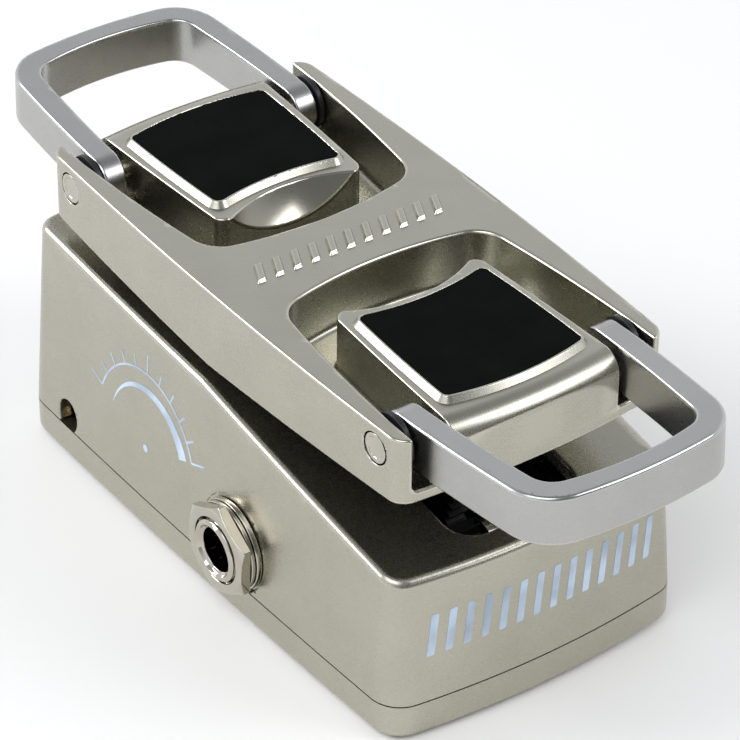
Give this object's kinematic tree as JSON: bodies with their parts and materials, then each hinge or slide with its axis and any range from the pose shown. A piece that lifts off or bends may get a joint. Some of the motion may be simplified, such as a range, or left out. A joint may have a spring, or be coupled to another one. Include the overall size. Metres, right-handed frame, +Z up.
{
  "type": "volume pedal",
  "caption": "Small rocker volume pedal: bowed metal base and treadle, rubber-topped tread blocks, fold-out loop handles at both ends, geared potentiometer, side jack.",
  "frame": {"origin": "centre of the mat's underside, on the floor", "axes": "+X across the pedal away from the jack, +Y along its length to the far end, +Z up"},
  "size_m": [0.0528, 0.129, 0.0501],
  "materials": {
    "shell": "satin champagne-nickel coat",
    "handle_metal": "satin",
    "chrome": "polished",
    "steel": "satin",
    "black_steel": "black oxide",
    "rubber": "matt",
    "black_plastic": "matt",
    "board": "solder mask",
    "bronze": "bright"
  },
  "bodies": {
    "base": {"axle_clip_left": "black_steel", "axle_clip_right": "black_steel", "axle_washer_left": "black_plastic", "axle_washer_right": "black_plastic", "base_housing": "shell", "base_mat": "rubber", "board_screw_1": "steel", "board_screw_2": "steel", "bottom_cover": "shell", "circuit_board": "board", "cover_screw_1": "black_steel", "cover_screw_2": "black_steel", "cover_screw_3": "black_steel", "cover_screw_4": "black_steel", "heel_bumper_left": "rubber", "heel_bumper_right": "rubber", "jack_body": "black_plastic", "jack_bushing": "chrome", "jack_nut": "chrome", "jack_washer_inner": "chrome", "jack_washer_outer": "chrome", "pivot_axle": "steel", "potentiometer": "steel", "ring_contact": "bronze", "sleeve_contact": "bronze", "tip_contact": "bronze", "toe_bumper_left": "rubber", "toe_bumper_right": "rubber", "trimmer_body": "black_plastic"},
    "rocker": {"treadle": "shell", "front_pad": "rubber", "rear_pad": "rubber", "front_pin_left": "steel", "front_pin_right": "steel", "front_washer_left": "black_plastic", "front_washer_right": "black_plastic", "rear_pin_left": "steel", "rear_pin_right": "steel", "rear_washer_left": "black_plastic", "rear_washer_right": "black_plastic", "sector_gear": "black_plastic", "sector_screw_1": "steel", "sector_screw_2": "steel"},
    "front_loop": {"front_handle": "handle_metal"},
    "rear_loop": {"rear_handle": "handle_metal"},
    "pot_rotor": {"pinion": "black_plastic", "pot_shaft": "chrome"},
    "trim_rotor": {"trimmer_rotor": "bronze"}
  },
  "joints": [
    {"name": "treadle_rock", "type": "hinge", "parent": "base", "child": "rocker", "pos_m": [0, 0, 0.0275], "axis": [1, 0, 0], "range_deg": [0, 10.5]},
    {"name": "front_handle_flip", "type": "hinge", "parent": "rocker", "child": "front_loop", "pos_m": [0, -0.0376, 0.04355], "axis": [-1, 0, 0], "range_deg": [0, 176]},
    {"name": "rear_handle_flip", "type": "hinge", "parent": "rocker", "child": "rear_loop", "pos_m": [0, 0.03458, 0.04495], "axis": [1, 0, 0], "range_deg": [0, 177]},
    {"name": "pot_spin", "type": "hinge", "parent": "base", "child": "pot_rotor", "pos_m": [0, -0.0304, 0.0139], "axis": [1, 0, 0], "range_deg": [-150, 150]},
    {"name": "trimmer_turn", "type": "hinge", "parent": "base", "child": "trim_rotor", "pos_m": [0, 0.0338, 0.0079], "axis": [1, 0, 0], "range_deg": [-135, 135]}
  ],
  "couplings": [
    {"joint": "pot_spin", "follows": "treadle_rock", "ratio": -8.4924}
  ]
}
